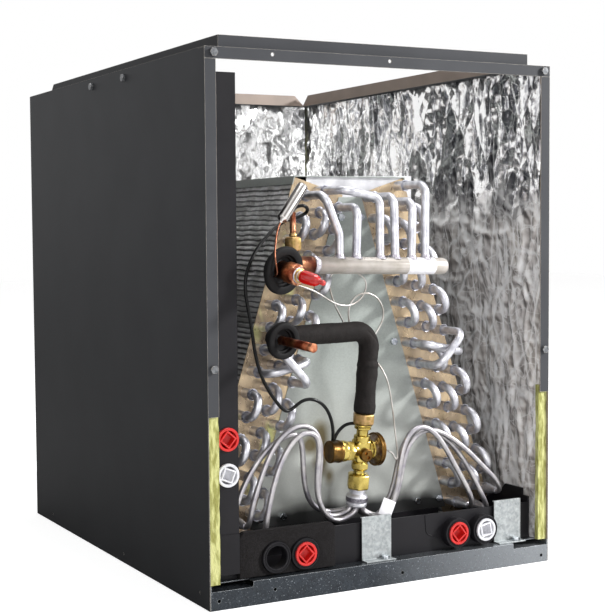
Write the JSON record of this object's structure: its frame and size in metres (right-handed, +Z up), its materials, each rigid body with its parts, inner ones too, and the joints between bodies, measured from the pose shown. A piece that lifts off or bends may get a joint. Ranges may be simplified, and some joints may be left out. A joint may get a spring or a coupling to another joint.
{
  "type": "cased evaporator coil",
  "caption": "Cased A-shaped evaporator coil with its front panel off, expansion valve, suction header, drain pan and foil-lined steel cabinet.",
  "frame": {"origin": "on the floor under the centre of the cabinet, at the return-air opening", "axes": "+X to the right seen from the open front, +Y to the back, +Z up towards the supply duct"},
  "size_m": [0.4518, 0.6221, 0.5952],
  "materials": {
    "casing_paint": "textured dark grey powder coat",
    "galvanised_steel": "spangled zinc",
    "foil_batt": "crinkled foil over glass fibre",
    "pan_plastic": "moulded satin black",
    "foam": "matt closed-cell foam",
    "fins": "thin fins",
    "tube_aluminium": "drawn tube, dull",
    "copper": "heat-stained copper",
    "brass": "machined brass",
    "bronze": "dark bronze",
    "bright_steel": "bright stainless tube",
    "black_tube": "black coating",
    "grommet_rubber": "soft black rubber",
    "red_plastic": "glossy red",
    "white_plastic": "white",
    "screw_steel": "zinc-plated"
  },
  "bodies": {
    "root": {"left_side_panel": "casing_paint", "right_side_panel": "casing_paint", "back_panel": "casing_paint", "top_front_rail": "casing_paint", "base_frame": "galvanised_steel", "left_front_tube_sheet": "galvanised_steel", "right_front_tube_sheet": "galvanised_steel", "left_rear_tube_sheet": "galvanised_steel", "right_rear_tube_sheet": "galvanised_steel", "front_delta_plate": "galvanised_steel", "rear_delta_plate": "galvanised_steel", "apex_cover": "galvanised_steel", "centre_bracket": "galvanised_steel", "right_bracket": "galvanised_steel", "left_insulation": "foil_batt", "right_insulation": "foil_batt", "back_insulation": "foil_batt", "drain_pan": "pan_plastic", "side_drain_pan": "pan_plastic", "port_foam_block": "foam", "liquid_line_foam": "foam", "left_fin_pack": "fins", "right_fin_pack": "fins", "left_return_bends": "tube_aluminium", "right_return_bends": "tube_aluminium", "left_crossing_bends": "tube_aluminium", "right_crossing_bends": "tube_aluminium", "left_hairpin_ends": "tube_aluminium", "right_hairpin_ends": "tube_aluminium", "suction_header": "tube_aluminium", "feeder_tubes": "tube_aluminium", "coil_adaptors": "tube_aluminium", "distributor_tubes": "tube_aluminium", "distributor": "tube_aluminium", "suction_stub": "copper", "liquid_line": "copper", "port_stem": "copper", "port_tube": "copper", "capillary": "copper", "expansion_valve": "brass", "inlet_nut": "brass", "outlet_nut": "brass", "flare_nut": "brass", "suction_core": "brass", "stem_cap": "bronze", "diaphragm_head": "bronze", "sensing_bulb": "bright_steel", "equaliser_tube": "black_tube", "suction_grommet": "grommet_rubber", "liquid_grommet": "grommet_rubber", "suction_cap": "red_plastic", "red_drain_plugs": "red_plastic", "white_drain_plugs": "white_plastic", "cabinet_screws": "screw_steel", "coil_screws": "screw_steel"}
  },
  "joints": []
}
